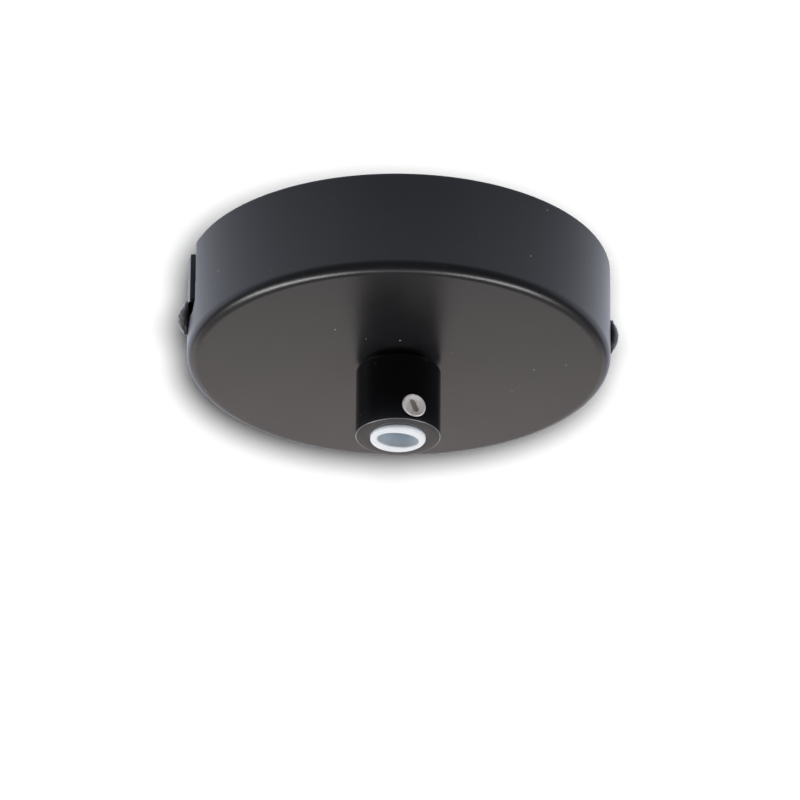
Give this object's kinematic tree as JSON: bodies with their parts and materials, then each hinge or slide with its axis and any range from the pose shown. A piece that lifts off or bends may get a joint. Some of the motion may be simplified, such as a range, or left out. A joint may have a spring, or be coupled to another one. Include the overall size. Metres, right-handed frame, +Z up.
{
  "type": "ceiling rose",
  "caption": "Round black steel ceiling rose: a shallow cup twisted on to side screws of a ceiling strip, with a cord grip below it.",
  "frame": {"origin": "middle of the two ceiling slots, on the strip's face that lies on the ceiling", "axes": "+Z up to the ceiling, +X along the mounting strip to the right side screw"},
  "size_m": [0.1044, 0.1, 0.0444],
  "materials": {
    "cup_paint": "satin black powder coat",
    "collar_paint": "satin black",
    "insert_nylon": "natural nylon",
    "clamp_nylon": "natural nylon, slightly clear",
    "black_nickel": "black nickel",
    "black_washer": "black oxide",
    "zinc_sheet": "zinc-plated sheet",
    "zinc_turned": "zinc plate, turned",
    "brass": "plain brass",
    "terminal_steel": "zinc-plated small screw",
    "block_plastic": "off-white moulding"
  },
  "bodies": {
    "bracket": {"mounting_bracket": "zinc_sheet", "earth_screw": "brass", "earth_cup_washer": "brass", "terminal_block_body": "block_plastic", "terminal_fixing_screw": "terminal_steel", "terminal_sleeve_1": "brass", "terminal_sleeve_2": "brass", "terminal_sleeve_3": "brass", "terminal_screw_1": "terminal_steel", "terminal_screw_2": "terminal_steel", "terminal_screw_3": "terminal_steel", "terminal_screw_4": "terminal_steel", "terminal_screw_5": "terminal_steel", "terminal_screw_6": "terminal_steel"},
    "cup": {"canopy_cup": "cup_paint", "threaded_nipple": "zinc_turned", "nipple_tooth_washer": "zinc_turned", "nipple_lock_nut": "zinc_turned", "cord_grip_collar": "collar_paint", "cord_grip_insert": "insert_nylon"},
    "clamp_screw": {"cord_clamp_screw": "clamp_nylon"},
    "right_screw": {"side_screw_right": "black_nickel", "side_washer_right": "black_washer"},
    "left_screw": {"side_screw_left": "black_nickel", "side_washer_left": "black_washer"}
  },
  "joints": [
    {"name": "cup_twist", "type": "hinge", "parent": "bracket", "child": "cup", "pos_m": [0, 0, 0], "axis": [0, 0, 1], "range_deg": [-8.9, 0]},
    {"name": "clamp_screw_feed", "type": "slide", "parent": "cup", "child": "clamp_screw", "axis": [0.304, -0.9527, 0], "range_m": [-0.0025, 0.002]},
    {"name": "right_screw_feed", "type": "slide", "parent": "bracket", "child": "right_screw", "axis": [1, 0, 0], "range_m": [0, 0.003]},
    {"name": "left_screw_feed", "type": "slide", "parent": "bracket", "child": "left_screw", "axis": [-1, 0, 0], "range_m": [0, 0.003]}
  ]
}
